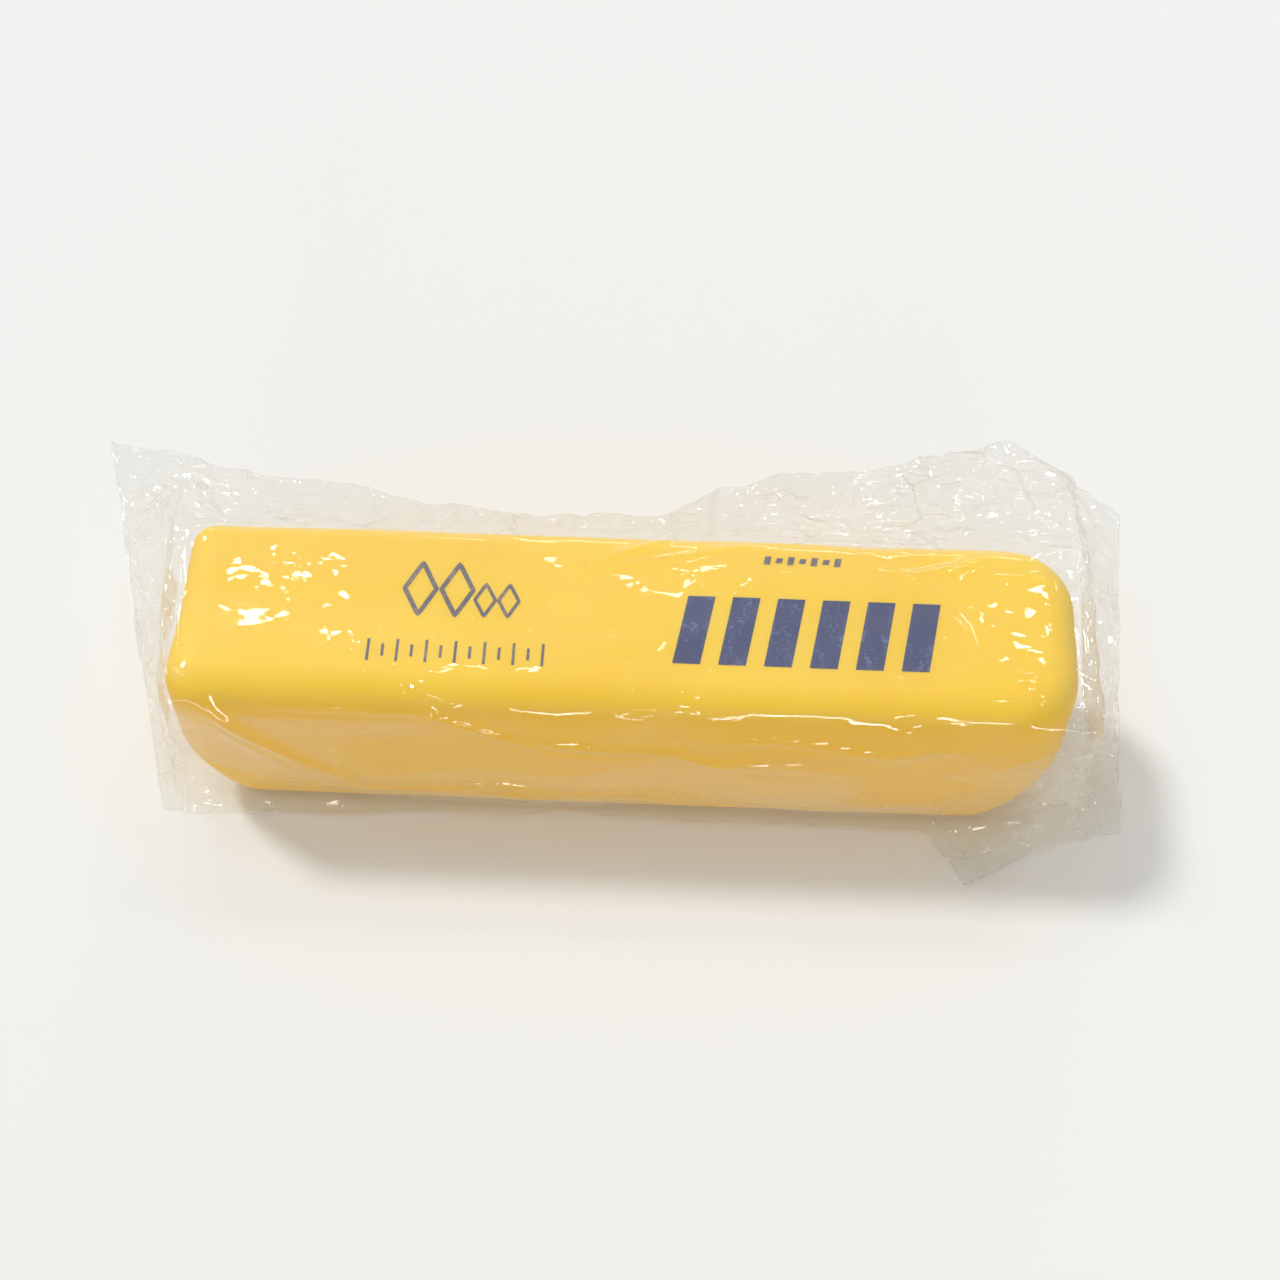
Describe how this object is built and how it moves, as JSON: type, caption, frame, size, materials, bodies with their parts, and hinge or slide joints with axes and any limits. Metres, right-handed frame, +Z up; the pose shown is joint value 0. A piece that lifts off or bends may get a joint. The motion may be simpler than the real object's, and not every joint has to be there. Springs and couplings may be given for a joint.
{
  "type": "wrapped butter block",
  "caption": "Long yellow block of butter with blue print on top, in a loose crinkled clear film bag with sealed ends and flared corners.",
  "frame": {"origin": "middle of the block's footprint, on the surface that the pack rests on", "axes": "+X along the block towards its right end, +Y towards its back, +Z up through the printed top"},
  "size_m": [0.2196, 0.0954, 0.0432],
  "materials": {
    "butter": "smooth, waxy, slightly soft",
    "film": "clear thin film, crinkled and glossy"
  },
  "bodies": {
    "root": {"butter_block": "butter", "film_bag": "film"}
  },
  "joints": []
}
